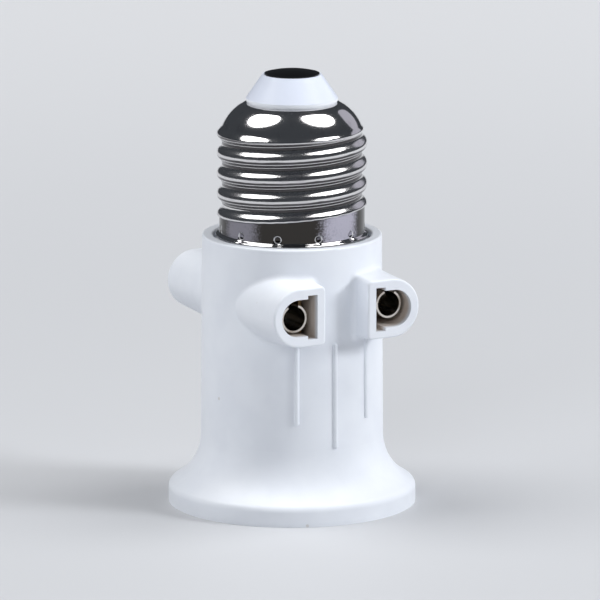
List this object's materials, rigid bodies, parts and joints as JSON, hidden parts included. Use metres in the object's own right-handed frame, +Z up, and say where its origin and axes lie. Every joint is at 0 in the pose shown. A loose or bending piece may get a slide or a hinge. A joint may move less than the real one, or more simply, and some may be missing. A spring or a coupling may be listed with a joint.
{
  "type": "plug in lamp holder",
  "caption": "Screw-in lamp holder adapter with a knuckle-thread cap on top, two-pin outlets on opposite sides and a female lamp holder in its flared skirt.",
  "frame": {"origin": "centre of the bottom of the skirt, on the surface that the adapter stands on", "axes": "+Z up along the axis of the cap and the lamp holder; the outlets face -Y (front) and +Y (rear); the live pole is on +X"},
  "size_m": [0.0434, 0.0434, 0.0765],
  "materials": {
    "white_plastic": "glossy white moulded plastic with a cool tint and a few mould specks",
    "nickelled_sheet": "bright nickel plate on rolled sheet, with fine drawing lines",
    "white_insulator": "glossy white insulating moulding",
    "contact_metal": "polished nickel plate",
    "sleeve_metal": "nickelled spring brass, bright on the cut rims",
    "brass_strip": "plain rolled brass",
    "rivet_metal": "turned brass",
    "base_ceramic": "unglazed pale ceramic",
    "brass_shell": "rolled brass, lightly burnished by the lamp's thread",
    "spring_brass": "hard rolled spring brass",
    "screw_steel": "zinc plated steel",
    "live_insulation": "brown wire insulation",
    "neutral_insulation": "blue wire insulation",
    "solder": "dull flowed solder"
  },
  "bodies": {
    "root": {"housing": "white_plastic", "cap_shell": "nickelled_sheet", "cap_insulator": "white_insulator", "cap_contact": "contact_metal", "sleeve_front_live": "sleeve_metal", "sleeve_front_neutral": "sleeve_metal", "sleeve_back_live": "sleeve_metal", "sleeve_back_neutral": "sleeve_metal", "live_bar": "brass_strip", "neutral_bar": "brass_strip", "live_bar_rivets": "rivet_metal", "neutral_bar_rivets": "rivet_metal", "lamp_base": "base_ceramic", "lamp_shell": "brass_shell", "lamp_tongue": "spring_brass", "tongue_rivet": "rivet_metal", "tongue_tag": "brass_strip", "shell_rivet": "rivet_metal", "shell_tag": "brass_strip", "base_screws": "screw_steel", "cap_live_lead": "live_insulation", "cap_neutral_lead": "neutral_insulation", "lamp_live_lead": "live_insulation", "lamp_neutral_lead": "neutral_insulation", "cap_solder": "solder"}
  },
  "joints": []
}
